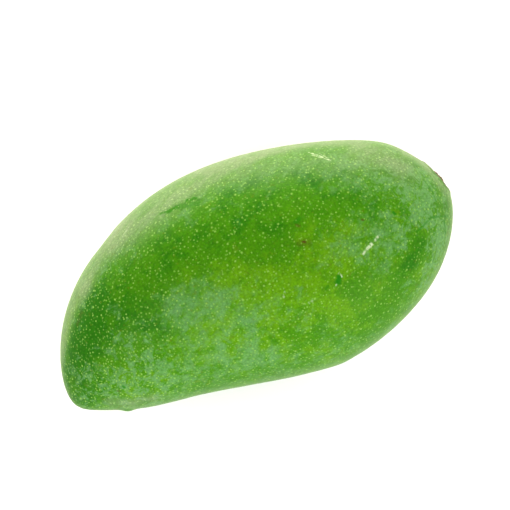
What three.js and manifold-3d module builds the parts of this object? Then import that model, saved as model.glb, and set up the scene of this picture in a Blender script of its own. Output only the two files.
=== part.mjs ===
// A whole green mango, picked, lying on one cheek, with the woody stub of its stalk.
// Millimetres, +Z up. X runs along the fruit from the tip (-X) to the stalk (+X), and the belly side,
// which carries the beak, faces -Y. The origin is at the bottom centre of the fruit's box.
import * as THREE from "three";
import { mergeVertices } from "three/addons/utils/BufferGeometryUtils.js";
import Module from "manifold-3d";

const wasm = await Module();
wasm.setup();

// ---- Driving dimensions, mm and degrees ----

// The fruit's long section, as a smooth closed curve drawn in by these control points. Each rib joins a
// point of the back to a point of the belly, with half the fruit's thickness between them.
const STALK_POLE = [75.5, 4];
const RIBS = [
  { back: [66.5, 18.5], belly: [75.5, -8], half: 12.5 }, // shoulders round the stalk
  { back: [58.5, 26], belly: [59.5, -30], half: 24.5 },
  { back: [33, 35.5], belly: [25.5, -43], half: 34 }, // widest
  { back: [3, 42], belly: [-1, -39.5], half: 35 }, // thickest
  { back: [-26.5, 40], belly: [-33.5, -30], half: 30 }, // the belly hollows slightly here
  { back: [-59, 24], belly: [-51, -28], half: 22 },
  { back: [-73.5, 2], belly: [-68.5, -20.5], half: 10 },
];
const TIP_POLE = [-76.5, -16.5];
const BACK_FULLNESS = 0.06; // how far the thickest line lies towards the back

const SCAR = { radius: 7, rim: 0.35, rimWidth: 0.9, dish: 0.5, dishRadius: 5 }; // where the stalk grew
const SWELL = { height: 0.3, along: 19, across: 14, shift: 25 }; // low uneven waves of the cheeks
// Small rises and dips, each a share of the way from the stalk to the tip, and degrees round from the back.
const BUMPS = [
  { along: 0.8, round: 180, height: 0.7, radius: 2.2 }, // the beak, a small point near the tip
  { along: 0.42, round: 180, height: 0.4, radius: 6 }, // the shoulder of the belly
  { along: 0.69, round: 0, height: -0.5, radius: 6 }, // a flattened spot on the back
];

const REST_ROLL = 9.9; // the belly edge lies this much lower than the back
const REST_PITCH = 5.2; // the tip lies this much lower than the stalk end
const FLAT_DEPTH = 0.4; // how much of the lower cheek is pressed flat

const SOCKET = { radius: 3.5, depth: 3.5 };
const STUB_GAP = 0.3;
const STUB = { height: 0.5, hollow: 2.2, hollowDepth: 1.3 };

const RINGS = 60;
const END_CROWDING = 0.6; // 0 spaces the rings evenly, and near 1 they crowd at both ends
const SIDES = 60;
const STUB_SIDES = 20;
const LIP_STEPS = 4;
const WELD = 1e-4; // corners nearer than this are one corner

// ---- The smooth body ----

// Weights of the four control points round a stretch of a uniform cubic B-spline.
function splineWeights(t) {
  return [
    (1 - t) ** 3 / 6,
    (3 * t ** 3 - 6 * t ** 2 + 4) / 6,
    (-3 * t ** 3 + 3 * t ** 2 + 3 * t + 1) / 6,
    t ** 3 / 6,
  ];
}

// A point of the closed curve that these control points draw, at an angle from 0 to 2 pi.
function closedCurve(controls, angle) {
  const n = controls.length;
  const place = (((angle / (2 * Math.PI)) % 1) + 1) % 1 * n;
  const first = Math.floor(place);
  const weights = splineWeights(place - first);
  return controls[0].map((_, axis) =>
    weights.reduce((sum, w, k) => sum + w * controls[(first + k - 1 + n) % n][axis], 0),
  );
}

const outline = [
  STALK_POLE,
  ...RIBS.map((rib) => rib.back),
  TIP_POLE,
  ...RIBS.map((rib) => rib.belly).reverse(),
];
const halves = RIBS.map((rib) => [rib.half]);
const thickness = [[0], ...halves, [0], ...halves.map(([half]) => [-half]).reverse()];

// The body before its relief: u runs from the stalk (0) to the tip (pi), and v round it from the back.
function smoothPoint(u, v) {
  const [backX, backY] = closedCurve(outline, u);
  const [bellyX, bellyY] = closedCurve(outline, -u);
  const [half] = closedCurve(thickness, u);
  const c = Math.cos(v);
  return new THREE.Vector3(
    (backX + bellyX) / 2 + ((backX - bellyX) / 2) * c,
    (backY + bellyY) / 2 + ((backY - bellyY) / 2) * c,
    half * Math.sin(v) * (1 + BACK_FULLNESS * c),
  );
}

function smoothNormal(u, v) {
  const step = 1e-3;
  const along = smoothPoint(u + step, v).sub(smoothPoint(u - step, v));
  const round = smoothPoint(u, v + step).sub(smoothPoint(u, v - step));
  return along.cross(round).normalize();
}

// ---- Relief ----

const stalkPole = smoothPoint(0, 0);
const stalkAxis = new THREE.Vector3(
  smoothPoint(0.01, 0).y - smoothPoint(0.01, Math.PI).y,
  smoothPoint(0.01, Math.PI).x - smoothPoint(0.01, 0).x,
  0,
).normalize();
const bumps = BUMPS.map(({ along, round, height, radius }) => ({
  place: smoothPoint(along * Math.PI, THREE.MathUtils.degToRad(round)),
  height,
  radius,
}));

// A smooth bell of height 1, by distance from its middle.
function bell(distance, radius) {
  return Math.exp(-((distance / radius) ** 2));
}

// How far the skin stands out from the smooth body at a point.
function relief(p) {
  const swell =
    Math.sin((p.x + SWELL.shift) / SWELL.along) * Math.sin(p.y / SWELL.across + p.z / SWELL.along);
  const fromStalk = p.distanceTo(stalkPole);
  const scar =
    SCAR.rim * bell(fromStalk - SCAR.radius, SCAR.rimWidth) -
    SCAR.dish * bell(fromStalk, SCAR.dishRadius);
  const start = SWELL.height * swell + scar;
  return bumps.reduce(
    (sum, bump) => sum + bump.height * bell(p.distanceTo(bump.place), bump.radius),
    start,
  );
}

function skinPoint(u, v) {
  const p = smoothPoint(u, v);
  return p.addScaledVector(smoothNormal(u, v), relief(p));
}

function poleOnSkin(pole, axis) {
  return pole.clone().addScaledVector(axis, relief(pole));
}

// How far along a ring lies, from 0 at the stalk to pi at the tip.
function ringPlace(ring) {
  const even = (2 * Math.PI * ring) / RINGS;
  return (even - END_CROWDING * Math.sin(even)) / 2;
}

// One closed mesh: a vertex at each pole and rings between them.
function bodyGeometry() {
  const tipPole = smoothPoint(Math.PI, 0);
  const vertices = [poleOnSkin(stalkPole, stalkAxis)];
  for (let ring = 1; ring < RINGS; ring++) {
    for (let side = 0; side < SIDES; side++) {
      vertices.push(skinPoint(ringPlace(ring), (side / SIDES) * 2 * Math.PI));
    }
  }
  vertices.push(poleOnSkin(tipPole, new THREE.Vector3(-1, 0, 0)));
  const tip = vertices.length - 1;
  const at = (ring, side) => 1 + (ring - 1) * SIDES + (side % SIDES);
  const faces = [];
  for (let side = 0; side < SIDES; side++) {
    faces.push(0, at(1, side), at(1, side + 1));
    for (let ring = 1; ring < RINGS - 1; ring++) {
      faces.push(at(ring, side), at(ring + 1, side), at(ring + 1, side + 1));
      faces.push(at(ring, side), at(ring + 1, side + 1), at(ring, side + 1));
    }
    faces.push(tip, at(RINGS - 1, side + 1), at(RINGS - 1, side));
  }
  return new THREE.BufferGeometry().setFromPoints(vertices).setIndex(faces);
}

// ---- Cutting and placing ----

function solidOf(geometry) {
  const bare = geometry.clone();
  bare.deleteAttribute("normal");
  bare.deleteAttribute("uv");
  const merged = mergeVertices(bare, WELD);
  return new wasm.Manifold(
    new wasm.Mesh({
      numProp: 3,
      vertProperties: merged.attributes.position.array,
      triVerts: new Uint32Array(merged.index.array),
    }),
  );
}

function geometryOf(solid) {
  const mesh = solid.getMesh();
  const geometry = new THREE.BufferGeometry();
  geometry.setAttribute("position", new THREE.BufferAttribute(mesh.vertProperties, 3));
  geometry.setIndex(new THREE.BufferAttribute(mesh.triVerts, 1));
  geometry.computeVertexNormals();
  return geometry;
}

// From the upright body's frame to the one in which it lies at rest.
const toRest = new THREE.Matrix4().makeRotationFromEuler(
  new THREE.Euler(
    THREE.MathUtils.degToRad(REST_ROLL),
    THREE.MathUtils.degToRad(-REST_PITCH),
    0,
    "YXZ",
  ),
);

// From a lathe's own frame, whose axis is +Y, to the stalk's, with its zero at the bottom of the dish.
const toStalk = new THREE.Matrix4()
  .makeRotationFromQuaternion(
    new THREE.Quaternion().setFromUnitVectors(new THREE.Vector3(0, 1, 0), stalkAxis),
  )
  .setPosition(poleOnSkin(stalkPole, stalkAxis));

function fruitGeometry() {
  const socketLength = 2 * SOCKET.depth;
  const socket = new THREE.CylinderGeometry(
    SOCKET.radius,
    SOCKET.radius,
    socketLength,
    STUB_SIDES,
  ).translate(0, socketLength / 2 - SOCKET.depth, 0);
  const body = bodyGeometry();
  const cut = solidOf(body).subtract(solidOf(socket.applyMatrix4(toStalk)));
  const lying = geometryOf(cut).applyMatrix4(toRest);
  lying.computeBoundingBox();
  const { min, max } = lying.boundingBox;
  const size = max.clone().sub(min);
  const floor = new THREE.BoxGeometry(2 * size.x, 2 * size.y, size.z);
  floor.translate(0, 0, min.z + FLAT_DEPTH - size.z / 2);
  return geometryOf(solidOf(lying).subtract(solidOf(floor)));
}

// The stalk snapped off at the skin: a peg in its socket, with a rounded lip round a hollow end.
function stubGeometry() {
  const peg = SOCKET.radius - STUB_GAP;
  const bottom = STUB_GAP - SOCKET.depth;
  const hollowFloor = STUB.height - STUB.hollowDepth;
  const lip = (peg - STUB.hollow) / 2;
  const profile = [new THREE.Vector2(0, bottom), new THREE.Vector2(peg, bottom)];
  for (let step = 0; step <= LIP_STEPS; step++) {
    const turn = (step / LIP_STEPS) * Math.PI;
    const height = STUB.height - lip + lip * Math.sin(turn);
    profile.push(new THREE.Vector2(STUB.hollow + lip + lip * Math.cos(turn), height));
  }
  profile.push(new THREE.Vector2(STUB.hollow - lip, hollowFloor), new THREE.Vector2(0, hollowFloor));
  return new THREE.LatheGeometry(profile, STUB_SIDES).applyMatrix4(toStalk).applyMatrix4(toRest);
}

// ---- The part ----

const skin = new THREE.MeshStandardMaterial({ color: 0x4f9a2a, roughness: 0.45, metalness: 0 });
const wood = new THREE.MeshStandardMaterial({ color: 0x4a3626, roughness: 0.9, metalness: 0 });

const fruit = new THREE.Mesh(fruitGeometry(), skin);
fruit.name = "fruit";
const stub = new THREE.Mesh(stubGeometry(), wood);
stub.name = "stalk_stub";

const mango = new THREE.Group();
mango.name = "mango";
mango.add(fruit, stub);

// The origin is at the bottom centre of the box round both pieces.
const box = new THREE.Box3().setFromObject(mango, true);
const middle = box.getCenter(new THREE.Vector3());
mango.children.forEach((piece) => piece.position.set(-middle.x, -middle.y, -box.min.z));

export default mango;
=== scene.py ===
"""The look of a whole green mango lying on one cheek, with the woody stub of its stalk.

The skin and the stub are built from the same named values and formulas as the solids, with the fine
relief, the pale dots (lenticels), the corky scar and the colours on top.
"""
import itertools
import math

import bpy
import numpy as np
from mathutils import Matrix, Vector
from mathutils.geometry import delaunay_2d_cdt
from mathutils.kdtree import KDTree


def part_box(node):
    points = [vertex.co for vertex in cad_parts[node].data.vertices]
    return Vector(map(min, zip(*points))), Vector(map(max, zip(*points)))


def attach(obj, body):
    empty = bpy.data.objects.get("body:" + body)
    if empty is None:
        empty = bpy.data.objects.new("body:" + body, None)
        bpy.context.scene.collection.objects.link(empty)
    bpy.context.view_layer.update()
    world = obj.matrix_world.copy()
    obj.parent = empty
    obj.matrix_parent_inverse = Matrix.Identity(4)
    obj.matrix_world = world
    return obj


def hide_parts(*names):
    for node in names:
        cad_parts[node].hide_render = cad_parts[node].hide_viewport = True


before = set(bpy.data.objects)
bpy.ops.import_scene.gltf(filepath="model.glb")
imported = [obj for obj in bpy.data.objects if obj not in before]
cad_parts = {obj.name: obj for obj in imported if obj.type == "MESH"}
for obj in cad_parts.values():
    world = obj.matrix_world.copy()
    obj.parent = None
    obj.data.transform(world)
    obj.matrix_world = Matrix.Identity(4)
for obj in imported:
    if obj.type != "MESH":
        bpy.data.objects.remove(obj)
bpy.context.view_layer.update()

MM = 0.001  # lengths below are in millimetres, and Blender's are in metres

# ---- Camera: a guessed distance, and a lens fitted to the fruit's outline ----

FRAME = 510  # pixels, both ways
CAMERA_AZIMUTH = -24  # degrees
CAMERA_ELEVATION = 75
CAMERA_DISTANCE = 750
CAMERA_OFFSET = (1.5, 6.77)  # of the aim point from the body's origin, right and up
SENSOR = 36
LENS = 152.06

# ---- The body: the same values as the solids, in millimetres and degrees ----

STALK_POLE = (75.5, 4)
RIBS = [  # back, belly, half the thickness
    ((66.5, 18.5), (75.5, -8), 12.5),
    ((58.5, 26), (59.5, -30), 24.5),
    ((33, 35.5), (25.5, -43), 34),
    ((3, 42), (-1, -39.5), 35),
    ((-26.5, 40), (-33.5, -30), 30),
    ((-59, 24), (-51, -28), 22),
    ((-73.5, 2), (-68.5, -20.5), 10),
]
TIP_POLE = (-76.5, -16.5)
BACK_FULLNESS = 0.06

SCAR_RADIUS = 7
SCAR_RIM = (0.35, 0.9)  # height, width
SCAR_DISH = (0.5, 5)  # depth, radius
SWELL = {"height": 0.3, "along": 19, "across": 14, "shift": 25}
BUMPS = [  # share of the way to the tip, degrees round from the back, height, radius
    (0.8, 180, 0.7, 2.2),
    (0.42, 180, 0.4, 6),
    (0.69, 0, -0.5, 6),
]
REST_ROLL = 9.9
REST_PITCH = 5.2
FLAT_DEPTH = 0.4
SOCKET_RADIUS = 3.5
SOCKET_DEPTH = 3.5
STUB_GAP = 0.3
STUB_HEIGHT = 0.5
STUB_HOLLOW = (2.2, 1.3)  # radius, depth
SOLID_RINGS = 60
SOLID_SIDES = 60
END_CROWDING = 0.6

# ---- The mesh of the skin ----

SEED = 7
MAP_STEPS = 4000
MAP_SIDES = 24
SMALL_STEP = 1e-3  # in u or v, for slopes

LENTICEL_TRIES = 60000
TIP_SPACING = 1.45  # between the dots near the tip
BODY_SPACING = 2.1
SPACING_SPREAD = (0.55, 1.35)
SPACING_CHANGE = (-60, -5)  # along X, where the spacing opens out
BARE_SCAR = 8  # no dots nearer the stalk than this
BARE_TIP = 0.05  # nor nearer the tip, in u
DOT_STRENGTH = (0.3, 0.7)  # the least, and the range above it
DOT_FAINTNESS = 1.4  # above 1, more of the dots are faint
DOT_RADIUS = (0.15, 0.29)
DOT_EDGE = 0.7  # share of its strength that a dot keeps at its inner ring
HALO_SHARE = 0.33  # of the spacing
HALO_SPREAD = (0.75, 1)
RING_SPREAD = (0.85, 1.15)
RING_POINTS = 5

FILLER = 21000
SCAR_FILLER = 3200
SCAR_ZONE = 12.5
DOT_CLEARANCE = 0.25  # from a dot's outer ring to the filler
RIM_POINTS = 48
RIM_START = 1.04  # where the filler starts outside the rim, as a factor on u
RIM_CLEARANCE = 0.15

DETAIL_STEP = 0.32  # between the points over a fine mark
DETAIL_MARGIN = 0.45
DETAIL_SPACING = 0.8 * DETAIL_STEP
DETAIL_TO_DOTS = 0.12
DETAIL_TO_FILLER = 0.2
SHARP_CLEAN_STROKES = 4  # the first of the rubbed patches, with sharp edges
STROKE_STEP = 0.6  # pixels between the points of a fine mark

# Fine relief. Noise is a sum of waves, and a layer of it is a strength, a size and a seed.
WAVES = 24
DOT_RISE = 0.025
CORK_EDGE = (6.5, 7.8)  # from the stalk's middle, where the corky ring ends
CORK_NARROW = 0.6  # how much less it reaches on its upper side
CORK_RAGGED = ((0.35, 1.4, 3), (0.25, 4, 4))
CORK_ROUGHNESS = 0.07
CORK_GRAIN = ((1, 0.9, 5), (1, 2, 6))
RIDGE_STEP = 1.25
RIDGE_HEIGHT = 0.16
RIDGE_WHOLE = 0.6  # the ridges' average strength, which noise varies
RIDGE_SUNK = 0.6  # of their height, that they lie lower
RIDGE_WANDER = (0.3, 2.5, 9)
RIDGE_BREAKS = (0.4, 1.2, 10)
CREASES = (17, 29)  # round the stalk, in two sets
CREASE_SHARE = 0.6  # of the second set
CREASE_TURN = 1.3
CREASE_WANDER = (2, 6, 7)
CREASE_DEPTH = 0.05
CREASE_ZONE = (9, 2.4)  # from the stalk's middle, and half width
ORANGE_PEEL = (0.02, 3.2, 8)
SOCKET_RINGS = (  # depth, radius
    (1.2, SOCKET_RADIUS),
    (SOCKET_DEPTH, SOCKET_RADIUS),
    (SOCKET_DEPTH, 1.8),
)


def circle(count):
    """Angles at even steps round a circle."""
    return 2 * math.pi * np.arange(count) / count


def closed_curve(controls, angle):
    """Points of the smooth closed curve that the control points draw, at angles in radians."""
    controls = np.asarray(controls, float)
    count = len(controls)
    place = (np.asarray(angle, float) / (2 * math.pi)) % 1 * count
    first = np.floor(place).astype(int)
    t = place - first
    weights = [
        (1 - t) ** 3 / 6,
        (3 * t**3 - 6 * t**2 + 4) / 6,
        (-3 * t**3 + 3 * t**2 + 3 * t + 1) / 6,
        t**3 / 6,
    ]
    corners = [controls[(first + k - 1) % count] for k in range(4)]
    return sum(w[..., None] * corner for w, corner in zip(weights, corners))


BACKS, BELLIES, HALVES = zip(*RIBS)
OUTLINE = [STALK_POLE, *BACKS, TIP_POLE, *reversed(BELLIES)]
THICKNESS = [[half] for half in [0, *HALVES, 0, *(-half for half in reversed(HALVES))]]


def smooth_point(u, v):
    """The body before its relief: u from stalk (0) to tip (pi), v round it from the back."""
    u, v = np.broadcast_arrays(np.asarray(u, float), np.asarray(v, float))
    back = closed_curve(OUTLINE, u)
    belly = closed_curve(OUTLINE, -u)
    half = closed_curve(THICKNESS, u)[..., 0]
    c = np.cos(v)
    middle = (back + belly) / 2 + (back - belly) / 2 * c[..., None]
    rise = half * np.sin(v) * (1 + BACK_FULLNESS * c)
    return np.concatenate([middle, rise[..., None]], axis=-1)


def slopes(u, v):
    """How the smooth body's point moves with u and with v."""
    step = SMALL_STEP
    along = (smooth_point(u + step, v) - smooth_point(u - step, v)) / (2 * step)
    around = (smooth_point(u, v + step) - smooth_point(u, v - step)) / (2 * step)
    return along, around


def unit(vectors):
    return vectors / np.maximum(np.linalg.norm(vectors, axis=-1, keepdims=True), 1e-12)


def smooth_normal(u, v):
    return unit(np.cross(*slopes(u, v)))


def bell(distance, radius):
    return np.exp(-((distance / radius) ** 2))


def stalk_axis():
    """The stalk's direction, square to the long section near its pole, as in the solids."""
    back = smooth_point(0.01, 0)
    belly = smooth_point(0.01, math.pi)
    return unit(np.array([(back - belly)[1], (belly - back)[0], 0]))


STALK = smooth_point(0, 0)
STALK_AXIS = stalk_axis()
STALK_SIDE = unit(np.cross([0, 0, 1], STALK_AXIS))


def scar_distance(points):
    """Distance from the stalk's pole."""
    return np.linalg.norm(points - STALK, axis=-1)


def relief(p):
    """How far the solid's skin stands out from the smooth body."""
    lengthways = np.sin((p[..., 0] + SWELL["shift"]) / SWELL["along"])
    swell = lengthways * np.sin(p[..., 1] / SWELL["across"] + p[..., 2] / SWELL["along"])
    from_stalk = scar_distance(p)
    height = SWELL["height"] * swell
    height = height + SCAR_RIM[0] * bell(from_stalk - SCAR_RADIUS, SCAR_RIM[1])
    height = height - SCAR_DISH[0] * bell(from_stalk, SCAR_DISH[1])
    for along, around, rise, radius in BUMPS:
        place = smooth_point(along * math.pi, math.radians(around))
        height = height + rise * bell(np.linalg.norm(p - place, axis=-1), radius)
    return height


POLE = STALK + STALK_AXIS * relief(STALK)  # the stalk's pole, on the solid's skin


def rest_turn():
    """The rotation from the upright body to the one that lies at rest."""
    roll = Matrix.Rotation(math.radians(REST_ROLL), 3, "X")
    pitch = Matrix.Rotation(math.radians(-REST_PITCH), 3, "Y")
    return np.array(pitch @ roll)


def skin_point(u, v):
    """The solid's skin, in the upright body's frame."""
    smooth = smooth_point(u, v)
    return smooth + smooth_normal(u, v) * relief(smooth)[..., None]


TURN = rest_turn()


def solid_box():
    """The box of the solid's own corners at rest, which places the body."""
    even = 2 * math.pi * np.arange(1, SOLID_RINGS) / SOLID_RINGS
    u = (even - END_CROWDING * np.sin(even)) / 2
    u, v = np.meshgrid(u, circle(SOLID_SIDES), indexing="ij")
    skin = skin_point(u, v)
    tip = smooth_point(math.pi, 0)
    tip = tip + np.array([-1, 0, 0]) * relief(tip)
    corners = np.vstack([skin.reshape(-1, 3), tip]) @ TURN.T
    low, high = corners.min(axis=0), corners.max(axis=0)
    low[2] += FLAT_DEPTH
    return low, high


def body_place():
    """Where the upright body's origin lies in the part's frame, from the box of the solid."""
    low, high = solid_box()
    node_low, node_high = [np.array(corner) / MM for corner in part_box("fruit")]
    place = (node_low + node_high) / 2 - (low + high) / 2
    place[2] = node_low[2] - low[2]
    return place


PLACE = body_place()


def at_rest(points):
    """From the upright body's frame to the part's, still in millimetres."""
    return points @ TURN.T + PLACE


# ---- Spreading points over the skin, each a pair (u, v) ----

def area_table():
    """Values of u, and the share of the skin's area between the stalk and each."""
    u = np.linspace(0, math.pi, MAP_STEPS + 1)
    along, around = slopes(u[:, None], circle(MAP_SIDES)[None, :])
    girdle = np.linalg.norm(np.cross(along, around), axis=-1).mean(axis=1)
    share = np.concatenate([[0], np.cumsum((girdle[1:] + girdle[:-1]) / 2)])
    return u, share / share[-1]


def map_table():
    """Values of u, and how far from the tip each lies on a nearly conformal map."""
    u = np.linspace(0, math.pi, MAP_STEPS + 1)[1:-1]
    along, around = slopes(u[:, None], circle(MAP_SIDES)[None, :])
    length = np.linalg.norm(along, axis=-1).mean(axis=1)
    stretch = length / np.linalg.norm(around, axis=-1).mean(axis=1)
    growth = np.concatenate([[0], np.cumsum((stretch[1:] + stretch[:-1]) / 2 * (u[1] - u[0]))])
    return u, np.exp(-growth)


AREA_U, AREA_SHARE = area_table()
MAP_U, MAP_RADIUS = map_table()


def spread_evenly(count, from_u, to_u):
    """Points at even spacing between two values of u, on a sunflower's spiral."""
    low, high = np.interp([from_u, to_u], AREA_U, AREA_SHARE)
    share = low + (high - low) * (np.arange(count) + 0.5) / count
    golden = math.pi * (3 - math.sqrt(5))
    return np.interp(share, AREA_SHARE, AREA_U), np.arange(count) * golden % (2 * math.pi)


def from_axis(points):
    """From the stalk's axis to each point, square to the axis."""
    offset = points - STALK
    return offset - (offset @ STALK_AXIS)[..., None] * STALK_AXIS


def u_at_scar_distance(distance):
    """The u whose ring lies this far from the stalk's pole on average."""
    u = np.linspace(0.0005, 0.6, 2400)
    reach = scar_distance(smooth_point(u[:, None], circle(MAP_SIDES)[None, :]))
    return float(np.interp(distance, reach.mean(axis=1), u))


def dot_spacing(points):
    """How far apart the dots stand there, on average."""
    start, end = SPACING_CHANGE
    share = np.clip((points[..., 0] - start) / (end - start), 0, 1)
    return TIP_SPACING + (BODY_SPACING - TIP_SPACING) * share


def thinned(points, spacing, order):
    """Which points to keep, taken in order, so that none is nearer an earlier one than its spacing."""
    keys = np.floor(points / spacing.max()).astype(int)
    around = list(itertools.product((-1, 0, 1), repeat=3))
    kept = []
    cells = {}
    for i in order:
        x, y, z = keys[i]
        near = [j for a, b, c in around for j in cells.get((x + a, y + b, z + c), ())]
        if near and np.min(np.sum((points[near] - points[i]) ** 2, axis=1)) < spacing[i] ** 2:
            continue
        kept.append(i)
        cells.setdefault((x, y, z), []).append(i)
    return kept


def scatter_dots(rng):
    """Places of the lenticels, none nearer another than the spacing there."""
    share = rng.random(LENTICEL_TRIES)
    u = np.interp(share, AREA_SHARE, AREA_U)
    v = rng.random(LENTICEL_TRIES) * 2 * math.pi
    points = smooth_point(u, v)
    spacing = dot_spacing(points) * rng.uniform(*SPACING_SPREAD, LENTICEL_TRIES)
    allowed = (scar_distance(points) > BARE_SCAR) & (u < math.pi - BARE_TIP)
    kept = thinned(points, spacing, np.flatnonzero(allowed))
    return u[kept], v[kept]


def stepped(u, v, radius, angle):
    """Points at a distance from (u, v) on the skin, in a direction measured from round the body."""
    along, around = slopes(u, v)
    across = unit(around)
    lengthways = unit(np.cross(smooth_normal(u, v), across))
    direction = np.cos(angle)[..., None] * across + np.sin(angle)[..., None] * lengthways
    offset = radius[..., None] * direction
    uu = np.sum(along * along, axis=-1)
    vv = np.sum(around * around, axis=-1)
    uv = np.sum(along * around, axis=-1)
    a = np.sum(offset * along, axis=-1)
    b = np.sum(offset * around, axis=-1)
    det = uu * vv - uv**2
    return u + (a * vv - b * uv) / det, v + (b * uu - a * uv) / det


# ---- Where a place in the photograph lies on the skin ----

def camera_axes():
    """The camera's right and up, and the way from what it looks at back to it."""
    azimuth, elevation = math.radians(CAMERA_AZIMUTH), math.radians(CAMERA_ELEVATION)
    level = math.cos(elevation)
    back = [math.sin(azimuth) * level, -math.cos(azimuth) * level, math.sin(elevation)]
    right = unit(np.cross([0, 0, 1], back))
    return right, np.cross(back, right), np.array(back)


RIGHT, UP, BACK = camera_axes()
CAMERA_PLACE = PLACE + RIGHT * CAMERA_OFFSET[0] + UP * CAMERA_OFFSET[1] + BACK * CAMERA_DISTANCE


def pixel_of(points):
    """Pixel coordinates in the photograph of points in the part's frame."""
    offset = points - CAMERA_PLACE
    depth = -(offset @ BACK)
    scale = FRAME * LENS / SENSOR / depth
    x = FRAME / 2 + (offset @ RIGHT) * scale
    y = FRAME / 2 - (offset @ UP) * scale
    return np.stack([x, y], axis=-1)


def facing(u, v):
    """How squarely the skin faces the camera, 1 at most, below 0 facing away."""
    toward = unit(CAMERA_PLACE - at_rest(smooth_point(u, v)))
    return np.sum(smooth_normal(u, v) @ TURN.T * toward, axis=-1)


GRID_STEPS = 160
GRID_EDGE = 0.02  # it stops short of both poles
SEEN_AT = 0.05  # the least facing that counts as seen
NEWTON_STEPS = 5
NEWTON_REACH = 0.05  # the furthest that one step goes, in u or v
EDGE_ON = 1  # with a smaller determinant no step is taken
STRAYED = 0.12  # further off in u or v, the grid point itself is taken


def seen_grid():
    """Points (u, v) over the skin that the camera sees, and their pixels."""
    along = np.linspace(GRID_EDGE, math.pi - GRID_EDGE, GRID_STEPS)
    around = np.linspace(0, 2 * math.pi, GRID_STEPS)
    u, v = [axis.ravel() for axis in np.meshgrid(along, around, indexing="ij")]
    seen = facing(u, v) > SEEN_AT
    u, v = u[seen], v[seen]
    return u, v, pixel_of(at_rest(skin_point(u, v)))


GRID_U, GRID_V, GRID_PIXELS = seen_grid()


def newton_step(pixels, u, v):
    """One step from (u, v) towards the skin seen at the pixels."""
    step = SMALL_STEP
    here = pixel_of(at_rest(skin_point(u, v)))
    by_u = (pixel_of(at_rest(skin_point(u + step, v))) - here) / step
    by_v = (pixel_of(at_rest(skin_point(u, v + step))) - here) / step
    miss = pixels - here
    det = by_u[:, 0] * by_v[:, 1] - by_u[:, 1] * by_v[:, 0]
    det = np.where(np.abs(det) < EDGE_ON, 1e9, det)
    move_u = (miss[:, 0] * by_v[:, 1] - miss[:, 1] * by_v[:, 0]) / det
    move_v = (miss[:, 1] * by_u[:, 0] - miss[:, 0] * by_u[:, 1]) / det
    move_u, move_v = np.clip([move_u, move_v], -NEWTON_REACH, NEWTON_REACH)
    return u + move_u, v + move_v


def places_at(pixels):
    """The (u, v) of the skin seen at each pixel: the nearest grid point, then Newton steps."""
    pixels = np.atleast_2d(np.asarray(pixels, float))
    nearest = [int(np.argmin(np.sum((GRID_PIXELS - pixel) ** 2, axis=1))) for pixel in pixels]
    start_u, start_v = GRID_U[nearest], GRID_V[nearest]
    u, v = start_u, start_v
    for _ in range(NEWTON_STEPS):
        u, v = newton_step(pixels, u, v)
    strayed = (np.abs(u - start_u) > STRAYED) | (np.abs(v - start_v) > STRAYED)
    return np.where(strayed, start_u, u), np.where(strayed, start_v, v)


def along_stroke(pixels, step):
    """Pixels at even steps along a line of photograph places."""
    pixels = np.asarray(pixels, float)
    places = []
    for start, end in zip(pixels[:-1], pixels[1:]):
        count = max(1, int(np.hypot(*(end - start)) / step))
        places += [start + (end - start) * share for share in np.arange(count) / count]
    places.append(pixels[-1])
    return np.array(places)


def stroke_points(pixels, step):
    """Points of the skin, in the part's frame, closely along a line of photograph places."""
    u, v = places_at(along_stroke(pixels, step))
    return at_rest(skin_point(u, v))


# ---- The skin's mesh ----

def plane_map(u, v):
    """The place of (u, v) on a plane map, with the tip in the middle."""
    radius = np.interp(u, MAP_U, MAP_RADIUS, right=0)
    return np.stack([radius * np.cos(v), radius * np.sin(v)], axis=-1)


def dots_with_rings(rng):
    """The dots, each a middle point with two rings round it, and its strength at each."""
    u, v = scatter_dots(rng)
    count = len(u)
    strength = DOT_STRENGTH[0] + DOT_STRENGTH[1] * rng.random(count) ** DOT_FAINTNESS
    core = rng.uniform(*DOT_RADIUS, count)
    halo = HALO_SHARE * dot_spacing(smooth_point(u, v)) * rng.uniform(*HALO_SPREAD, count)
    places = [(u, v)]
    levels = [strength]
    turn = rng.random(count) * 2 * math.pi
    for radius, level in ((core, DOT_EDGE), (halo, 0)):
        for k in range(RING_POINTS):
            angle = turn + 2 * math.pi * k / RING_POINTS
            uneven = radius * rng.uniform(*RING_SPREAD, count)
            places.append(stepped(u, v, uneven, angle))
            levels.append(strength * level)
        turn = turn + math.pi / RING_POINTS
    all_u, all_v = joined(places)
    return all_u, all_v, np.concatenate(levels), (u, v, halo)


def joined(places):
    """Several sets of points (u, v) as one."""
    return [np.concatenate(values) for values in zip(*places)]


def far_from(u, v, other_u, other_v, distances):
    """Which points stand further from the nearest of the others than its distance."""
    distances = np.broadcast_to(distances, len(other_u))
    tree = KDTree(len(other_u))
    for index, point in enumerate(smooth_point(other_u, other_v)):
        tree.insert(point, index)
    tree.balance()
    found = [tree.find(point)[1:] for point in smooth_point(u, v)]
    return np.array([distance > distances[nearest] for nearest, distance in found], bool)


def detail_points():
    """Close points over every fine mark, so that it has sharp edges."""
    fine = PALE_STROKES + DARK_STROKES + BROWN_STROKES + CREASE_SHADE_STROKES
    spots = []
    for pixels, width, _ in fine + CLEAN_STROKES[:SHARP_CLEAN_STROKES]:
        u, v = places_at(along_stroke(pixels, STROKE_STEP))
        spots.append((u, v))
        for radius in np.arange(DETAIL_STEP, width * MARK_OUTSIDE + DETAIL_MARGIN, DETAIL_STEP):
            for angle in circle(int(round(2 * math.pi * radius / DETAIL_STEP))):
                spots.append(stepped(u, v, np.full(len(u), radius), np.full(len(u), angle)))
    u, v = joined(spots)
    spacing = np.full(len(u), DETAIL_SPACING)
    kept = thinned(smooth_point(u, v), spacing, range(len(u)))
    return u[kept], v[kept]


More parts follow.
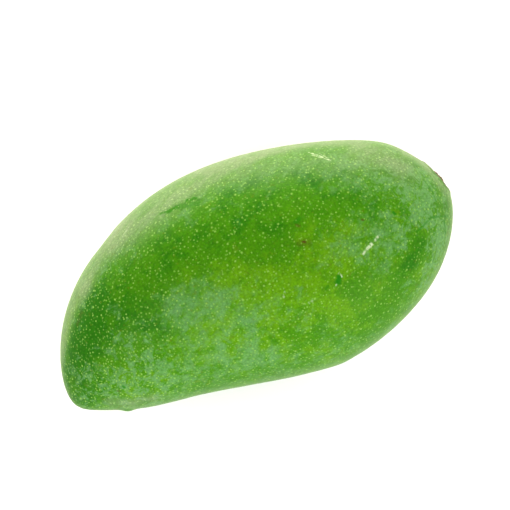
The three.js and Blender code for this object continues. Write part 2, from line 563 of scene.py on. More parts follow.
def filler_points(rim_u, dots):
    """Evenly spread points between the dots, closer together round the scar."""
    scar_u = u_at_scar_distance(SCAR_ZONE)
    wide = spread_evenly(FILLER, scar_u, math.pi)
    near = spread_evenly(SCAR_FILLER, rim_u * RIM_START, scar_u)
    u, v = joined([wide, near])
    dot_u, dot_v, halo = dots
    clear = far_from(u, v, dot_u, dot_v, halo + DOT_CLEARANCE)
    off_axis = np.linalg.norm(from_axis(smooth_point(u, v)), axis=-1)
    clear &= off_axis > SOCKET_RADIUS + RIM_CLEARANCE
    return u[clear], v[clear]


def skin_layout(rng):
    """Every point of the skin outside the socket, the rim's first, and its dot strength."""
    rim_u = u_at_scar_distance(SOCKET_RADIUS)
    dot_u, dot_v, dot_level, dots = dots_with_rings(rng)
    fill_u, fill_v = filler_points(rim_u, dots)
    fine_u, fine_v = detail_points()
    apart = far_from(fine_u, fine_v, dot_u, dot_v, DETAIL_TO_DOTS)
    fine_u, fine_v = fine_u[apart], fine_v[apart]
    apart = far_from(fill_u, fill_v, fine_u, fine_v, DETAIL_TO_FILLER)
    rim = (np.full(RIM_POINTS, rim_u), circle(RIM_POINTS))
    tip = ([math.pi], [0])
    u, v = joined([rim, (dot_u, dot_v), (fill_u[apart], fill_v[apart]), (fine_u, fine_v), tip])
    after = len(u) - RIM_POINTS - len(dot_u)
    level = np.concatenate([np.zeros(RIM_POINTS), dot_level, np.zeros(after)])
    return u, v, level


def wave_noise(points, size, seed):
    """Soft seeded noise from about -1 to 1, with features of about a size in millimetres."""
    rng = np.random.default_rng(seed)
    directions = unit(rng.normal(size=(WAVES, 3))) * rng.uniform(0.6, 1.4, (WAVES, 1))
    phases = rng.random(WAVES) * 2 * math.pi
    waves = np.sin(points @ directions.T * (2 * math.pi / size / 1.6) + phases)
    return waves.sum(axis=-1) / math.sqrt(WAVES) * 0.9


def layer(points, strength, size, seed):
    return strength * wave_noise(points, size, seed)


def layers(points, *settings):
    """Layers of noise added up, each given as its strength, size and seed."""
    return sum(layer(points, *setting) for setting in settings)


def ramp(value, low, high):
    """A smooth step from 0 at the first limit to 1 at the second."""
    t = np.clip((value - low) / (high - low), 0, 1)
    return t * t * (3 - 2 * t)


def scar_angle(points):
    """The angle round the stalk's axis, from the back."""
    offset = points - STALK
    return np.arctan2(offset[..., 2], offset @ STALK_SIDE)


def cork_amount(points):
    """1 on the corky ring round the stub, 0 away from it, with a ragged edge."""
    reach = scar_distance(points) + layers(points, *CORK_RAGGED)
    upper = np.clip(np.sin(scar_angle(points)), 0, 1) ** 4
    return ramp(reach + CORK_NARROW * upper, CORK_EDGE[1], CORK_EDGE[0])


def cork_ridges(points):
    """From 0 in the grooves to 1 on the ridges that run round the corky ring."""
    reach = scar_distance(points) + layer(points, *RIDGE_WANDER)
    whole = RIDGE_WHOLE + layer(points, *RIDGE_BREAKS)
    return 0.5 + 0.5 * np.sin(2 * math.pi * reach / RIDGE_STEP) * whole


def scar_creases(points):
    """Shallow creases that run out from the corky ring."""
    around = scar_angle(points)
    first = np.sin(CREASES[0] * around + layer(points, *CREASE_WANDER))
    second = CREASE_SHARE * np.sin(CREASES[1] * around + CREASE_TURN)
    middle, width = CREASE_ZONE
    return CREASE_DEPTH * (first + second) * bell(scar_distance(points) - middle, width)


def fine_relief(points, level):
    """How far the skin stands out from the solid's."""
    cork = cork_amount(points)
    grain = CORK_ROUGHNESS * cork * layers(points, *CORK_GRAIN)
    ridges = RIDGE_HEIGHT * cork * (cork_ridges(points) - RIDGE_SUNK)
    peel = layer(points, *ORANGE_PEEL)
    return DOT_RISE * level + grain + ridges + scar_creases(points) + peel


def rim_corners(points):
    """The rim's points moved to the socket's exact radius."""
    offset = points - STALK
    height = (offset @ STALK_AXIS)[:, None] * STALK_AXIS
    return STALK + height + unit(offset - height) * SOCKET_RADIUS


def socket_corners(rim):
    """Rings down the socket's wall to its floor, and last the middle of the floor."""
    outward = unit(from_axis(rim))
    rings = [POLE - STALK_AXIS * depth + outward * radius for depth, radius in SOCKET_RINGS]
    return np.vstack(rings + [POLE - STALK_AXIS * SOCKET_DEPTH])


def socket_faces(first):
    """Faces from the rim, at 0, down the rings whose corners start at first."""
    starts = [0] + [first + k * RIM_POINTS for k in range(len(SOCKET_RINGS))]
    middle = first + len(SOCKET_RINGS) * RIM_POINTS
    faces = []
    for upper, lower in zip(starts[:-1], starts[1:]):
        for k in range(RIM_POINTS):
            after = (k + 1) % RIM_POINTS
            faces.append([upper + k, lower + k, lower + after, upper + after])
    for k in range(RIM_POINTS):
        faces.append([starts[-1] + k, middle, starts[-1] + (k + 1) % RIM_POINTS])
    return faces


def skin_faces(u, v):
    """Triangles between the points of the skin, found on the plane map."""
    flat = plane_map(u, v) / plane_map(u[:1], v[:1])[0, 0]
    triangles = delaunay_2d_cdt([Vector(point) for point in flat], [], [], 0, 1e-12, False)[2]
    return [list(reversed(face)) for face in triangles]


def skin_mesh():
    """Corners at rest, faces, and each corner's dot strength, upright place and facing."""
    u, v, level = skin_layout(np.random.default_rng(SEED))
    smooth = smooth_point(u, v)
    normal = smooth_normal(u, v)
    normal[-1] = (-1, 0, 0)  # the tip's pole, where slopes give no normal
    rise = relief(smooth) + fine_relief(smooth, level)
    body = smooth + normal * rise[:, None]
    body[:RIM_POINTS] = rim_corners(body[:RIM_POINTS])
    inner = socket_corners(body[:RIM_POINTS])
    faces = skin_faces(u, v) + socket_faces(len(body))
    level = np.concatenate([level, np.zeros(len(inner))])
    seen = np.concatenate([facing(u, v), np.ones(len(inner))])
    corners = np.vstack([body, inner])
    placed = at_rest(corners)
    placed[:, 2] = np.maximum(placed[:, 2], 0)  # the flat spot that it rests on
    return placed, faces, level, corners, seen


# ---- Colours and marks, each a strength at every corner of the skin ----

def distance_to(placed, line, reach):
    """Distance of each corner from a line of points, worked out only within reach of it."""
    inside = (placed > line.min(axis=0) - reach) & (placed < line.max(axis=0) + reach)
    near = np.flatnonzero(inside.all(axis=1))
    distance = np.full(len(placed), 1e6)
    nearest = np.full(len(near), 1e12)
    for point in line:
        np.minimum(nearest, np.sum((placed[near] - point) ** 2, axis=1), out=nearest)
    distance[near] = np.sqrt(nearest)
    return distance


BROAD_STEP = 6  # pixels between the points of a broad stroke
BROAD_REACH = 3  # half widths, beyond which a stroke is nothing
BROAD_BELL = 1.1
BROAD_LIMITS = (-1.6, 1)
HIDDEN_SPREAD = 1.6  # how much wider the pale wax layer and its painted sheen fade where the skin faces away from the camera
SPREAD_FACING = (0.5, 0.0)  # the facing at which that begins, and is complete
WORN_FACING = (0.1, -0.4)  # and the same for worn patches in the wax layer and its painted sheen
MARK_OUTSIDE = 1.5  # half widths, where a fine mark has faded out
MARK_INSIDE = 0.6  # and where it begins to
MARK_BLUR = 0.12
MARK_MARGIN = 1
MARK_RAGGED = 0.2
CLEAN_RAGGED = 1.6
RAGGED = (0.9, 31)  # size and seed
WORN = (13, 34)
BROKEN = ((1, 0.6, 32), (0.5, 1.3, 33))

# Each stroke: places in the photograph, half width in millimetres, strength.
BLOOM_STROKES = [  # where the skin is more waxy, or where it is rubbed clean (negative)
    ([(168, 300), (200, 292), (220, 296)], 6.5, 0.75),
    ([(184, 322), (212, 326)], 5, 0.3),
    ([(140, 376), (200, 366), (262, 356)], 7, 0.45),
    ([(125, 400), (180, 392)], 5, 0.35),
    ([(254, 350), (249, 322)], 4, 0.25),
    ([(298, 316), (310, 292)], 6, -0.25),
    ([(346, 240), (362, 226), (392, 236)], 7, 0.4),
    ([(378, 258), (388, 246)], 5, 0.2),
    ([(398, 188), (424, 208)], 8, 0.75),
    ([(424, 186), (432, 222)], 5, 0.6),
    ([(441, 235), (434, 262)], 4, 0.5),
    ([(345, 168), (390, 166)], 6, 0.4),
    ([(172, 228), (186, 218)], 4, 0.4),
    ([(190, 252), (240, 236), (302, 224)], 12, -0.65),
    ([(240, 264), (282, 262)], 8, -0.5),
    ([(148, 272), (172, 258)], 8, -0.6),
    ([(84, 335), (108, 302), (140, 285)], 8, -0.7),
    ([(100, 345), (74, 368)], 7, -0.4),
    ([(84, 372), (94, 384), (112, 388)], 3.5, 0.5),
    ([(130, 302), (150, 322)], 6, -0.6),
    ([(360, 296), (348, 290)], 6.5, -1.3),
    ([(376, 312), (388, 300)], 5, -0.7),
    ([(270, 340), (285, 335)], 3, -0.6),
    ([(300, 346), (312, 342)], 4, -0.4),
    ([(420, 240), (417, 250), (412, 260)], 3.4, -1.6),
    ([(404, 266), (400, 276)], 3, -0.9),
    ([(326, 200), (345, 204), (370, 210)], 5, -0.45),
    ([(400, 212), (408, 213)], 2.5, -0.7),
    ([(335, 310), (352, 320)], 6, -0.3),
    ([(420, 212), (430, 206)], 3, 0.8),
    ([(402, 172), (412, 177)], 4, -0.6),
    ([(436, 212), (441, 209)], 2.5, -0.8),
    ([(384, 190), (390, 198)], 4, -0.5),
    ([(442, 193), (447, 198)], 2.5, -0.7),
    ([(415, 197), (419, 199)], 2, -0.5),
]
WAX_AND_SHEEN_STROKES = [  # where a pale waxy film lies on the side turned to the back, carrying a painted sheen of the back lights along that edge
    ([(124, 234), (178, 194), (232, 164)], 6.5, 0.85),
    ([(84, 286), (102, 258), (122, 232)], 3.8, 0.75),
    ([(62, 350), (72, 310), (86, 288)], 2.4, 0.6),
    ([(112, 282), (97, 308), (88, 338)], 3, -0.5),
    ([(112, 402), (132, 403), (152, 398)], 2.2, 0.6),
    ([(230, 160), (300, 143), (350, 141), (400, 165)], 6, 0.8),
    ([(404, 152), (420, 160), (444, 190)], 2, 0.5),
    ([(250, 172), (300, 160), (350, 162)], 6.5, 0.35),
]
TONE_AND_SHADE_STROKES = [  # yellower, or a deeper green (negative); the deeper green just inside the left edge is painted shade
    ([(200, 345), (262, 326), (330, 316)], 13, 0.5),
    ([(288, 302), (330, 290)], 10, 0.4),
    ([(350, 330), (386, 300)], 8, 0.3),
    ([(330, 240), (372, 250)], 10, 0.35),
    ([(130, 390), (180, 380)], 8, 0.3),
    ([(235, 268), (270, 284)], 7, 0.4),
    ([(205, 236), (250, 226), (302, 218)], 9, -0.4),
    ([(150, 264), (186, 246)], 8, -0.4),
    # painted shade: the deeper green just inside the left edge, in this stroke and the stroke after
    # the next
    ([(88, 315), (80, 345), (72, 366)], 7, -1.0),
    ([(63, 345), (72, 312), (88, 282)], 2.2, 1.2),
    ([(114, 300), (102, 330)], 8, -0.7),
    ([(140, 310), (152, 326)], 6, -0.5),
    ([(90, 386), (102, 393)], 6, -0.6),
    ([(420, 241), (417, 250), (413, 259)], 2.8, -1.2),
    ([(404, 266), (400, 276)], 3, -0.7),
    ([(60, 374), (70, 394), (84, 402)], 4, -0.8),
    ([(245, 190), (300, 176), (345, 178)], 6, -0.4),
    ([(356, 293), (346, 286)], 4, -0.5),
    ([(326, 200), (348, 205), (370, 208)], 5, -0.4),
]
PALE_STROKES = [
    ([(363.5, 254), (365.5, 250)], 0.25, 0.9),
    ([(367.5, 248.5), (370, 246), (372, 243.5)], 0.45, 1.0),
    ([(375.5, 240), (378, 236.5)], 0.28, 0.9),
    ([(309, 152.5), (319, 155.5), (330, 160.3)], 0.2, 0.9),
    ([(312, 155), (327, 159)], 0.18, 0.7),
    ([(318, 152.8), (328, 158)], 0.16, 0.6),
    ([(338.6, 273), (340.4, 273.8), (341.6, 276.8)], 0.18, 1.0),
    ([(335.2, 285.8), (336.4, 284.8)], 0.17, 0.8),
    ([(283.8, 297), (285, 292)], 0.25, 0.5),
    ([(309, 303), (312, 301)], 0.3, 0.4),
    ([(163, 208), (176, 201.5), (185, 197)], 0.6, 0.12),
    ([(123, 236), (128, 228)], 0.4, 0.4),
]
DARK_STROKES = [
    ([(338.2, 281.8), (339.2, 277.8)], 0.95, 0.95),
    ([(296, 222), (299, 219)], 0.7, 0.6),
    ([(393.5, 212.5), (395, 214)], 0.45, 0.9),
    ([(326, 289), (328, 286)], 0.4, 0.4),
    ([(123.5, 386.5), (124.5, 387.5)], 0.4, 0.9),
    ([(145, 402), (147, 402)], 0.5, 0.5),
    ([(120, 408.5), (127, 410), (131, 409)], 0.4, 0.6),
]
CLEAN_STROKES = [  # rubbed clean, in sharp patches
    ([(187, 200.3), (195, 198.6)], 0.6, 1.0),
    ([(168, 211.5), (177, 207)], 0.8, 1.0),
    ([(160.5, 213.6), (167, 211.6)], 0.4, 0.8),
    ([(180, 206.5), (197, 203)], 1.3, 0.7),
    ([(418.5, 243), (417, 250), (413.5, 258)], 2.4, 0.45),
    ([(402.5, 269), (400, 275)], 1.6, 0.5),
    ([(158.5, 279), (161, 275)], 1.1, 0.5),
    ([(137, 320), (139, 318)], 1.0, 0.5),
    ([(271, 338), (277, 342)], 1.2, 0.5),
    ([(401, 211), (408, 214)], 1.0, 0.6),
    ([(372, 208), (367, 206)], 1.4, 0.4),
]
BROWN_STROKES = [
    ([(302.5, 242), (305, 242)], 0.3, 1.0),
    ([(299, 243), (308, 242.5)], 1.1, 0.3),
    ([(296, 225), (299, 226)], 0.4, 0.5),
    ([(362, 219.5), (363.2, 219.8)], 0.22, 0.8),
    ([(81.5, 312), (80, 317)], 0.8, 0.2),
    ([(78.5, 321), (77.5, 324)], 0.7, 0.3),
    ([(423.5, 161), (432, 170.5)], 0.22, 0.4),
    ([(118, 391), (119, 391)], 0.35, 0.5),
    ([(423, 160.5), (425, 162.5)], 0.25, 0.6),
    ([(449.5, 191.5), (450.3, 194)], 0.2, 0.75),
]
# dark lines along the creases: painted shade in the creases
CREASE_SHADE_STROKES = [
    ([(432, 217.5), (440, 216.6), (448, 216)], 0.28, 0.65),
    ([(444, 221), (445, 227), (445.5, 233)], 0.3, 0.85),
    ([(417, 232), (423, 226), (431, 217.5)], 0.25, 0.6),
    ([(425, 181), (433, 193), (438, 207)], 0.22, 0.5),
    ([(420, 172), (436, 190), (441, 205)], 0.22, 0.2),
    ([(143, 296), (160, 312), (171, 330)], 0.3, 0.25),
]


def soft_sum(placed, strokes, spread=1.0):
    """Broad strokes added up, each fading like a bell that is wider where spread is above 1."""
    total = np.zeros(len(placed))
    for pixels, width, amount in strokes:
        reach = BROAD_REACH * width * np.max(spread)
        distance = distance_to(placed, stroke_points(pixels, BROAD_STEP), reach)
        total += amount * bell(distance / spread, width * BROAD_BELL)
    return np.clip(total, *BROAD_LIMITS)


def sharp_marks(placed, strokes, ragged=0.0):
    """Fine strokes with ragged edges; the strongest counts at each corner."""
    strength = np.zeros(len(placed))
    for pixels, width, amount in strokes:
        reach = BROAD_REACH * width + MARK_MARGIN
        distance = distance_to(placed, stroke_points(pixels, STROKE_STEP), reach)
        distance = distance + MARK_RAGGED * width * ragged
        fade = ramp(distance, width * MARK_OUTSIDE + MARK_BLUR, width * MARK_INSIDE)
        strength = np.maximum(strength, amount * fade)
    return strength


def wax_and_sheen_amount(placed, body, seen):
    """The waxy film with a painted sheen along the edge, wider and worn in patches towards the side
    that isn't seen.
    """
    spread = 1 + HIDDEN_SPREAD * ramp(seen, *SPREAD_FACING)
    worn = ramp(seen, *WORN_FACING) * ramp(wave_noise(body, *WORN), 0.5, -1.2)
    return soft_sum(placed, WAX_AND_SHEEN_STROKES, spread) * (1 - worn)


def skin_marks(placed, level, body, seen):
    """What the material reads at every corner of the skin, by name."""
    ragged = wave_noise(body, *RAGGED)
    broken = ramp(layers(body, *BROKEN), -0.8, 0.4)
    dark = sharp_marks(placed, DARK_STROKES, ragged)
    # the dark lines along the creases are painted shade
    creases = sharp_marks(placed, CREASE_SHADE_STROKES)
    return {
        "dot": level,
        "cork": cork_amount(body),
        "ridge": cork_ridges(body),
        "bloom": soft_sum(placed, BLOOM_STROKES),
        # a pale waxy film with a painted sheen along the edge turned to the back
        "wax_and_sheen": wax_and_sheen_amount(placed, body, seen),
        # the skin's tone, with painted shade just inside the left edge
        "tone_and_shade": soft_sum(placed, TONE_AND_SHADE_STROKES),
        "pale": sharp_marks(placed, PALE_STROKES, ragged) * broken,
        # dark marks, and painted shade along the creases
        "dark": np.maximum(dark, creases),
        "brown": sharp_marks(placed, BROWN_STROKES, ragged),
        "clean": sharp_marks(placed, CLEAN_STROKES, CLEAN_RAGGED * ragged),
    }


def link(name, data):
    piece = bpy.data.objects.new(name, data)
    bpy.context.collection.objects.link(piece)
    return piece


def smooth_piece(name, mesh_name, corners, faces, marks):
    """A smooth piece, from corners in millimetres and the values painted on them."""
    mesh = bpy.data.meshes.new(mesh_name)
    mesh.from_pydata(corners * MM, [], faces)
    mesh.shade_smooth()
    for mark, values in marks.items():
        attribute = mesh.attributes.new(mark, "FLOAT", "POINT")
        attribute.data.foreach_set("value", np.asarray(values, np.float32))
    return link(name, mesh)


def skin_piece():
    placed, faces, level, body, seen = skin_mesh()
    marks = skin_marks(placed, level, body, seen)
    return smooth_piece("mango_skin", "mango_skin", placed, faces, marks)


# ---- Materials ----

class Graph:
    """A material's nodes, made in short calls. Inputs are values or other nodes' outputs."""

    def __init__(self, name):
        self.material = bpy.data.materials.new(name)
        self.material.use_nodes = True
        self.tree = self.material.node_tree
        self.shader = self.tree.nodes["Principled BSDF"]
        self.place = self.add("TexCoord").outputs["Object"]

    def add(self, kind, **settings):
        node = self.tree.nodes.new("ShaderNode" + kind)
        for name, value in settings.items():
            setattr(node, name, value)
        return node

    def feed(self, socket, value):
        if isinstance(value, bpy.types.NodeSocket):
            self.tree.links.new(value, socket)
        else:
            socket.default_value = value

    def feed_all(self, node, **inputs):
        for name, value in inputs.items():
            self.feed(node.inputs[name.replace("_", " ")], value)

    def attribute(self, name):
        return self.add("Attribute", attribute_name=name).outputs["Fac"]

    def math(self, operation, first, second):
        node = self.add("Math", operation=operation)
        self.feed(node.inputs[0], first)
        self.feed(node.inputs[1], second)
        return node.outputs[0]

    def plus(self, first, second):
        return self.math("ADD", first, second)

    def times(self, first, second):
        return self.math("MULTIPLY", first, second)

    def larger(self, first, second):
        return self.math("MAXIMUM", first, second)

    def stretched(self, turn, scale):
        """A place for noise that is turned, in degrees, and longer along some axes."""
        node = self.add("Mapping", vector_type="TEXTURE")
        turn = [math.radians(angle) for angle in turn]
        self.feed_all(node, Vector=self.place, Rotation=turn, Scale=scale)
        return node.outputs[0]

    def noise(self, size, detail, roughness=0.5, place=None, distortion=0):
        """Noise from 0 to 1, with features of about a size in millimetres."""
        node = self.add("TexNoise")
        self.feed_all(node, Vector=place or self.place, Scale=1 / (size * MM))
        self.feed_all(node, Detail=detail, Roughness=roughness, Distortion=distortion)
        return node.outputs["Fac"]

    def cells(self, size):
        """Distance in millimetres from the nearest of many points, and that point's value."""
        node = self.add("TexVoronoi")
        self.feed_all(node, Vector=self.place, Scale=1 / (size * MM))
        parts = self.add("SeparateColor")
        self.feed(parts.inputs[0], node.outputs["Color"])
        return self.times(node.outputs["Distance"], size), parts.outputs[0]

    def along_x(self):
        """Place along the part's X, in millimetres."""
        node = self.add("SeparateXYZ")
        self.feed(node.inputs[0], self.place)
        return self.math("DIVIDE", node.outputs["X"], MM)

    def ramp(self, value, low, high, to_low=0.0, to_high=1.0):
        """A smooth step from one value to another, as the input goes from low to high."""
        node = self.add("MapRange", interpolation_type="SMOOTHSTEP")
        for socket, number in zip(node.inputs, (value, low, high, to_low, to_high)):
            self.feed(socket, number)
        return node.outputs[0]

    def mix(self, amount, first, second, blend="MIX"):
        node = self.add("Mix", data_type="RGBA", blend_type=blend)
        self.feed(node.inputs["Factor"], amount)
        self.feed(node.inputs[6], first)
        self.feed(node.inputs[7], second)
        return node.outputs[2]

    def grey(self, value):
        node = self.add("CombineColor")
        for socket in node.inputs[:3]:
            self.feed(socket, value)
        return node.outputs[0]

    def bump(self, height, distance):
        """A normal for relief of this height, times a distance in millimetres."""
        node = self.add("Bump")
        self.feed_all(node, Distance=distance * MM, Height=height)
        return node.outputs[0]

    def finish(self, **inputs):
        self.feed_all(self.shader, **inputs)
        return self.material


def colour(red, green, blue):
    return (red, green, blue, 1)


GREEN = colour(0.034, 0.145, 0.0006)
DEEP_GREEN = colour(0.013, 0.104, 0.0005)
GOLD_GREEN = colour(0.070, 0.195, 0.0010)
BLOOM = colour(0.083, 0.208, 0.060)
BLOOM_STRENGTH = 0.85
CLEAN = colour(0.018, 0.118, 0.0004)
# a pale waxy film with a painted sheen, the back lights' reflection along the edge
PALE_WAX_AND_SHEEN = colour(0.137, 0.200, 0.091)
OLIVE = colour(0.080, 0.125, 0.003)
DOT = colour(0.175, 0.335, 0.055)
# the dots' colour under the waxy film and its painted sheen
DOT_UNDER_WAX_AND_SHEEN = colour(0.245, 0.345, 0.160)
PALE = colour(0.37, 0.46, 0.27)
# the colour of dark marks, and of the painted shade in the creases
DARK_MARK_AND_CREASE_SHADE = colour(0.008, 0.118, 0.0008)
BROWN = colour(0.050, 0.038, 0.004)
CORK = colour(0.011, 0.008, 0.006)
# the lighter colour of the corky ridges, partly grain and partly painted light
CORK_LIGHT = colour(0.075, 0.048, 0.026)
SKIN_SPECULAR = 0.03
SHEEN = 0.17
SHEEN_ROUGHNESS = 0.4
SHEEN_TINT = colour(1.0, 0.94, 0.72)
CORK_MATT = 0.9
BRUSH_TURN = (0, 0, 35)  # degrees
BRUSH_SCALE = (2.4, 0.7, 1)
BLOOM_GUIDE = 0.17  # how much the strokes count against the noise
BLOOM_RANGE = (0.44, 0.70)
CRACKLE = 0.16  # how much crisper the bloom is near both ends
STALK_END = (35, 58)  # along X, where that sets in
TIP_END = (-28, -52)
SPECK_CELL = 1.25  # millimetres
TINT_CELL = 2.0


def skin_green(g):
    """The skin's green, from deep to golden; the deeper green inside the left edge is painted shade.
    """
    tone_and_shade = g.plus(g.attribute("tone_and_shade"), g.ramp(g.noise(30, 2), 0.3, 0.7, -0.3, 0.35))
    tone_and_shade = g.plus(tone_and_shade, g.ramp(g.noise(5, 4, 0.6), 0.3, 0.7, -0.4, 0.4))
    base = g.mix(g.ramp(tone_and_shade, 0.0, 1.0), GREEN, GOLD_GREEN)
    return g.mix(g.ramp(tone_and_shade, -0.1, -1.0), base, DEEP_GREEN)


def skin_bloom(g, patchy, brushed, near_tip):
    """How waxy the skin is, in blotches that are crisper near both ends."""
    prior = g.times(g.attribute("bloom"), BLOOM_GUIDE)
    blotches = g.plus(g.times(patchy, 0.7), g.times(brushed, 0.3))
    crackle = g.ramp(g.noise(3.4, 5, 0.70, distortion=1.0), 0.35, 0.65, -CRACKLE, CRACKLE)
    near_stalk = g.ramp(g.along_x(), *STALK_END)
    blotches = g.plus(blotches, g.times(crackle, g.larger(near_stalk, near_tip)))
    return g.ramp(g.plus(prior, blotches), *BLOOM_RANGE)


def with_specks(g, base, dot_colour, near_tip):
    """Faint specks between the dots, more near the tip, and olive tints."""
    reach, chance = g.cells(SPECK_CELL)
    speck = g.times(g.ramp(reach, 0.40, 0.12), g.ramp(chance, 0.1, 1.0, 0.15, 0.7))
    speck = g.times(speck, g.plus(1.0, g.times(near_tip, 0.6)))
    base = g.mix(speck, base, dot_colour)
    reach, chance = g.cells(TINT_CELL)
    tint = g.times(g.ramp(reach, 0.6, 0.1), g.ramp(chance, 0.55, 0.95, 0, 0.45))
    return g.mix(tint, base, OLIVE)


def with_dots(g, base, dot_colour):
    """The dots of the mesh, each a core in a fainter halo."""
    dot = g.attribute("dot")
    halo = g.ramp(dot, 0.0, 0.9, 0, 0.3)
    core = g.ramp(dot, 0.12, 0.8, 0, 0.75)
    return g.mix(g.larger(halo, core), base, dot_colour)


def cork_colour(g):
    """Dark, lighter in grainy patches on the ridges: painted light on the ridges and painted shade in
    the grooves.
    """
    grain = g.ramp(g.noise(0.7, 4, 0.7), 0.35, 0.7)
    grain_and_ridge_light = g.times(grain, g.ramp(g.attribute("ridge"), 0.1, 0.9))
    return g.mix(grain_and_ridge_light, CORK, CORK_LIGHT)


def skin_material():
    g = Graph("mango_skin")
    patchy = g.noise(4.2, 6, 0.70, distortion=0.6)
    brushed = g.noise(4, 4, 0.6, place=g.stretched(BRUSH_TURN, BRUSH_SCALE))
    fine = g.noise(0.8, 4, 0.65)
    near_tip = g.ramp(g.along_x(), *TIP_END)
    bloom = skin_bloom(g, patchy, brushed, near_tip)
    # the waxy film with a painted sheen along the edge turned to the back
    wax_and_sheen_share = g.times(g.attribute("wax_and_sheen"), g.ramp(brushed, 0.3, 0.65, 0.6, 1.0))
    warm = g.ramp(g.noise(3.1, 3, 0.6), 0.62, 0.74, 0, 0.35)
    dot_colour = g.mix(wax_and_sheen_share, DOT, DOT_UNDER_WAX_AND_SHEEN)
    base = g.mix(g.times(bloom, BLOOM_STRENGTH), skin_green(g), BLOOM)
    for amount, tint in ((wax_and_sheen_share, PALE_WAX_AND_SHEEN), (g.attribute("clean"), CLEAN), (warm, OLIVE)):
        base = g.mix(amount, base, tint)
    base = g.mix(1.0, base, g.grey(g.ramp(fine, 0.25, 0.75, 0.78, 1.22)), "MULTIPLY")
    base = with_specks(g, base, dot_colour, near_tip)
    base = with_dots(g, base, dot_colour)
    # the dark colour covers dark marks and the painted shade in the creases
    for mark, tint in (("dark", DARK_MARK_AND_CREASE_SHADE), ("brown", BROWN), ("pale", PALE)):
        base = g.mix(g.attribute(mark), base, tint)
    cork = g.attribute("cork")
    base = g.mix(cork, base, cork_colour(g))
    rough = g.plus(g.times(bloom, 0.10), g.ramp(patchy, 0.3, 0.7, 0.38, 0.44))
    return g.finish(
        Base_Color=base,
        Roughness=g.larger(rough, g.times(cork, CORK_MATT)),
        Normal=g.bump(fine, 0.02),
        Specular_IOR_Level=SKIN_SPECULAR,
        Sheen_Weight=SHEEN,
        Sheen_Roughness=SHEEN_ROUGHNESS,
        Sheen_Tint=SHEEN_TINT,
    )


# ---- The stub of the stalk ----

STUB_SIDES = 96
STUB_RINGS_IN = 14
LIP_STEPS = 8
PEG = SOCKET_RADIUS - STUB_GAP
PEG_BEVEL = 0.15
HOLLOW, HOLLOW_DEPTH = STUB_HOLLOW
HOLLOW_WALL = ((0.12, -0.35), (0.3, -0.6))  # how far in from the hollow's radius, and height
HOLLOW_FLOOR = 0.4  # how far in from it the floor starts
LIP = (PEG - HOLLOW) / 2  # half the lip's thickness
LIP_RAGGED = ((0.13, 1.3, 21), (0.06, 0.5, 22))
LIP_WORN = 0.12
LIP_CHIPPED = (0.10, 1.0, 23)
CREST_WIDTH = 0.26
CREST_BREAKS = (1.8, 26)
FIBRES = 30
FIBRE_RISE = 0.12
FIBRE_WANDER = (3, 1.5, 24)
WOOD_ROUGHNESS = (0.10, 0.6, 25)
PIT = (-0.5, -0.6, 0.8)  # place of the pith's hole in the stub's hollow, and its radius
PIT_DEPTH = 0.45


def stub_profile():
    """Radius and height along the axis, from the peg's bottom over the lip to the hollow."""
    bottom = STUB_GAP - SOCKET_DEPTH
    profile = [(0.02, bottom), (PEG * 0.6, bottom), (PEG - PEG_BEVEL, bottom)]
    profile += [(PEG, bottom + rise) for rise in (PEG_BEVEL, 1, 2)]
    profile += [(PEG, STUB_HEIGHT - LIP - 0.3)]
    for step in range(LIP_STEPS + 1):
        turn = step / LIP_STEPS * math.pi
        height = STUB_HEIGHT - LIP + LIP * math.sin(turn)
        profile.append((HOLLOW + LIP + LIP * math.cos(turn), height))
    profile += [(HOLLOW - inwards, height) for inwards, height in HOLLOW_WALL]
    for step in range(STUB_RINGS_IN):
        share = (step + 1) / STUB_RINGS_IN
        profile.append(((HOLLOW - HOLLOW_FLOOR) * (1 - share) + 0.01, STUB_HEIGHT - HOLLOW_DEPTH))
    return np.array(profile)


def stub_relief(radius, height, turn):
    """The stub with a broken lip, fibres and the pith's hole, and where lip and hole are."""
    spot = np.stack([radius * np.cos(turn), radius * np.sin(turn), height], axis=-1)
    top = ramp(height, -1.0, 0.1)
    lip = ramp(radius, 1.9, 2.5) * top
    height = height + lip * (layers(spot, *LIP_RAGGED) - LIP_WORN)
    radius = radius - lip * np.abs(layer(spot, *LIP_CHIPPED))
    crest = bell(radius - (HOLLOW + LIP), CREST_WIDTH) * top
    crest = crest * ramp(wave_noise(spot, *CREST_BREAKS), -1.1, 0.1)
    pit_x, pit_y, pit_radius = PIT
    from_pit = np.hypot(radius * np.cos(turn) - pit_x, radius * np.sin(turn) - pit_y)
    inside = ramp(radius, 2.1, 1.7) * top
    pit = bell(from_pit, pit_radius) * top
    height = height - PIT_DEPTH * pit * inside
    fibre = FIBRE_RISE * np.sin(FIBRES * turn + layer(spot, *FIBRE_WANDER)) * ramp(radius, 0.1, 1.2)
    height = height + inside * (fibre + layer(spot, *WOOD_ROUGHNESS))
    return radius, height, {"lip": crest.ravel(), "pit": (pit * inside).ravel()}


def tube_faces(rings, sides):
    """Faces between rings of corners, and one across each end."""
    faces = []
    for lower in range(0, (rings - 1) * sides, sides):
        upper = lower + sides
        for k in range(sides):
            after = (k + 1) % sides
            faces.append([lower + k, lower + after, upper + after, upper + k])
    faces.append(list(reversed(range(sides))))
    faces.append(list(range((rings - 1) * sides, rings * sides)))
    return faces


def stub_piece():
    profile = stub_profile()
    radius, turn = np.meshgrid(profile[:, 0], circle(STUB_SIDES), indexing="ij")
    height = np.repeat(profile[:, 1:], STUB_SIDES, axis=1)
    radius, height, marks = stub_relief(radius, height, turn)
    up = np.cross(STALK_AXIS, STALK_SIDE)
    corners = (
        POLE
        + height[..., None] * STALK_AXIS
        + (radius * np.cos(turn))[..., None] * STALK_SIDE
        + (radius * np.sin(turn))[..., None] * up
    )
    placed = at_rest(corners.reshape(-1, 3))
    faces = tube_faces(len(profile), STUB_SIDES)
    return smooth_piece("mango_stub", "stalk_wood", placed, faces, marks)


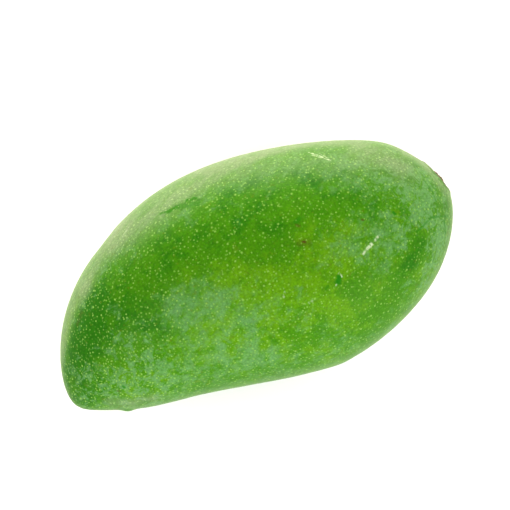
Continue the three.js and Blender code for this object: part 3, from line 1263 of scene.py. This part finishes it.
WOOD_DARK = colour(0.016, 0.009, 0.006)
WOOD_LIGHT = colour(0.230, 0.105, 0.050)
PIT_COLOUR = colour(0.006, 0.004, 0.004)
LIP_COLOUR = colour(0.300, 0.310, 0.140)
LIP_DRY = colour(0.095, 0.065, 0.032)


def stub_material():
    g = Graph("stalk_wood")
    grain = g.noise(0.5, 5, 0.7)
    blotch = g.noise(1.6, 3, 0.6)
    wood = g.mix(g.ramp(grain, 0.35, 0.7), WOOD_DARK, WOOD_LIGHT)
    wood = g.mix(g.ramp(blotch, 0.5, 0.68), wood, WOOD_DARK)
    wood = g.mix(g.attribute("pit"), wood, PIT_COLOUR)
    lip_colour = g.mix(g.ramp(g.noise(1.1, 3, 0.6), 0.4, 0.65), LIP_COLOUR, LIP_DRY)
    base = g.mix(g.attribute("lip"), wood, lip_colour)
    rough = g.ramp(blotch, 0.3, 0.7, 0.75, 0.92)
    return g.finish(
        Base_Color=base, Roughness=rough, Normal=g.bump(grain, 0.06), Specular_IOR_Level=0.3
    )


# ---- Floor, light and camera ----

FLOOR_SIZE = 24  # metres, as are the lights' distance and size
FLOOR = colour(0.90, 0.90, 0.90)
WORLD_STRENGTH = 0.7
LIGHT_DISTANCE = 1.5
LIGHT_SIZE = 0.9
WHITE = (1.0, 1.0, 0.97)
WARM = (1.0, 0.95, 0.74)
# Their strengths were fitted to the photograph's broad shading, then changed.
LIGHTS = [  # name, turn from the frame's right, tilt from the camera's direction, watts, colour
    ("key", 0, 35, 3.0, WHITE),
    ("fill_left", 225, 35, 15.0, WHITE),
    ("fill_low", 315, 65, 19.0, WHITE),
    ("back_right", 60, 90, 13.5, WARM),
    ("back_middle", 90, 90, 27.0, WARM),
    ("back_left", 120, 90, 13.0, WARM),
    ("side_left", 150, 90, 9.0, WARM),
]


def add_floor():
    half = FLOOR_SIZE / 2
    corners = [(-half, -half, 0), (half, -half, 0), (half, half, 0), (-half, half, 0)]
    mesh = bpy.data.meshes.new("floor")
    mesh.from_pydata(corners, [], [(0, 1, 2, 3)])
    floor = link("floor", mesh)
    g = Graph("floor")
    mesh.materials.append(g.finish(Base_Color=FLOOR, Roughness=0.9, Specular_IOR_Level=0.1))


def add_world():
    world = bpy.data.worlds.new("studio")
    bpy.context.scene.world = world
    world.use_nodes = True
    background = world.node_tree.nodes["Background"]
    background.inputs["Color"].default_value = colour(1, 1, 1)
    background.inputs["Strength"].default_value = WORLD_STRENGTH


def add_lights():
    for name, turn, tilt, power, tint in LIGHTS:
        data = bpy.data.lights.new(name, "AREA")
        data.shape = "DISK"
        data.size = LIGHT_SIZE
        data.energy = power
        data.color = tint
        turn, tilt = math.radians(turn), math.radians(tilt)
        sideways = RIGHT * math.cos(turn) + UP * math.sin(turn)
        away = Vector(sideways * math.sin(tilt) + BACK * math.cos(tilt))
        lamp = link(name, data)
        lamp.location = away * LIGHT_DISTANCE
        lamp.rotation_euler = away.to_track_quat("Z", "Y").to_euler()


def add_camera():
    data = bpy.data.cameras.new("camera")
    data.sensor_width = SENSOR
    data.lens = LENS
    camera = link("camera", data)
    axes = np.eye(4)
    axes[:3, 0], axes[:3, 1], axes[:3, 2] = RIGHT, UP, BACK
    axes[:3, 3] = CAMERA_PLACE * MM
    camera.matrix_world = Matrix(axes.tolist())
    bpy.context.scene.camera = camera


# ---- Putting it together ----

add_camera()
add_floor()
add_world()
add_lights()
bpy.context.scene.view_settings.view_transform = "Standard"

skin = skin_piece()
skin.data.materials.append(skin_material())
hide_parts("fruit")
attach(skin, "root")

stub = stub_piece()
stub.data.materials.append(stub_material())
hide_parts("stalk_stub")
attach(stub, "root")
